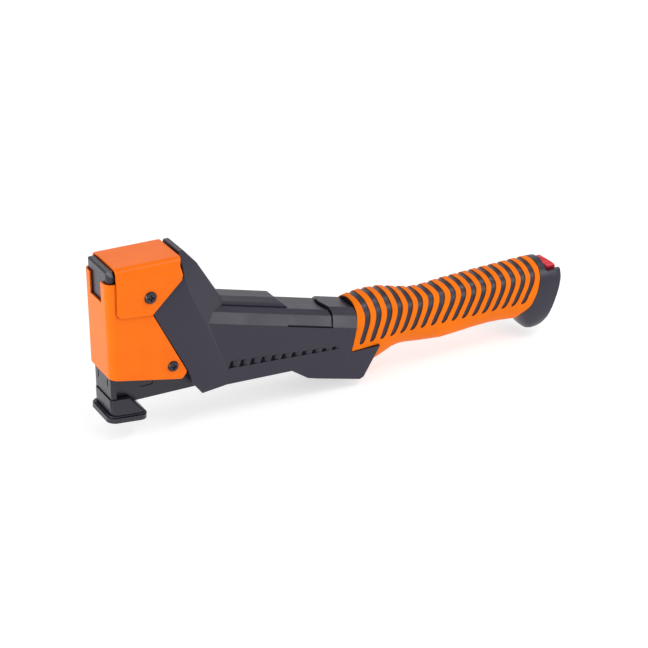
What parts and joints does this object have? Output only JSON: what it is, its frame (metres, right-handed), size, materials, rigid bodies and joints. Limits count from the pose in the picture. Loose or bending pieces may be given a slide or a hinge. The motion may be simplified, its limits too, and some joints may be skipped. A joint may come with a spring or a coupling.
{
  "type": "hammer tacker staple gun",
  "caption": "Hammer-swung staple gun with a boxed steel head, faceted plastic body, ribbed rubber grip, sprung pivoting magazine and rear-loading staple rail.",
  "frame": {"origin": "on the strike face, on the centre line, below the front face of the painted cover", "axes": "+X along the magazine towards the butt, +Z against the driving direction, +Y the user's right when the tool is swung"},
  "size_m": [0.3335, 0.0412, 0.1131],
  "materials": {
    "orange_paint": "gloss powder coat",
    "orange_rubber": "matt moulded rubber",
    "dark_plastic": "fine spark-eroded texture",
    "black_steel": "satin black oxide",
    "bright_steel": "ground and zinc plated",
    "red_plastic": "satin moulded"
  },
  "bodies": {
    "handle": {"front_cover": "orange_paint", "top_cap": "orange_paint", "head_block": "black_steel", "driver_blade": "bright_steel", "driver_rivets": "black_steel", "cover_screws": "black_steel", "cover_spacers": "bright_steel", "handle_frame": "black_steel", "left_shell": "dark_plastic", "right_shell": "dark_plastic", "shell_screws": "black_steel", "grip_core": "dark_plastic", "grip_sleeve": "orange_rubber", "butt_cap": "dark_plastic", "butt_screw": "black_steel", "pivot_pin": "bright_steel", "pivot_spacers": "bright_steel", "button_spring": "bright_steel"},
    "magazine": {"magazine_channel": "black_steel", "nose_plate": "black_steel", "nose_rivets": "black_steel", "strike_shoe": "black_steel", "spring_seat": "bright_steel", "return_spring": "bright_steel"},
    "rail": {"staple_rail": "bright_steel", "rail_plug": "dark_plastic", "latch_leaf": "bright_steel", "guide_rod": "bright_steel", "staples": "bright_steel", "pusher_spring": "bright_steel"},
    "pusher": {"pusher": "black_steel"},
    "button": {"release_button": "red_plastic"}
  },
  "joints": [
    {"name": "strike_swing", "type": "hinge", "parent": "handle", "child": "magazine", "pos_m": [0.305, 0, 0.025], "axis": [0, 1, 0], "range_deg": [0, 2.6], "stiffness_Nm_per_rad": 60, "springref_deg": -7.16, "deforming": ["return_spring"]},
    {"name": "rail_slide", "type": "slide", "parent": "magazine", "child": "rail", "axis": [1, 0, 0], "range_m": [0, 0.2]},
    {"name": "pusher_slide", "type": "slide", "parent": "rail", "child": "pusher", "axis": [1, 0, 0], "range_m": [0, 0.12], "stiffness_N_per_m": 40, "springref_m": -0.12, "deforming": ["pusher_spring"]},
    {"name": "button_press", "type": "slide", "parent": "handle", "child": "button", "axis": [0, 0, -1], "range_m": [0, 0.003], "stiffness_N_per_m": 700, "springref_m": -0.002, "deforming": ["button_spring"]}
  ]
}
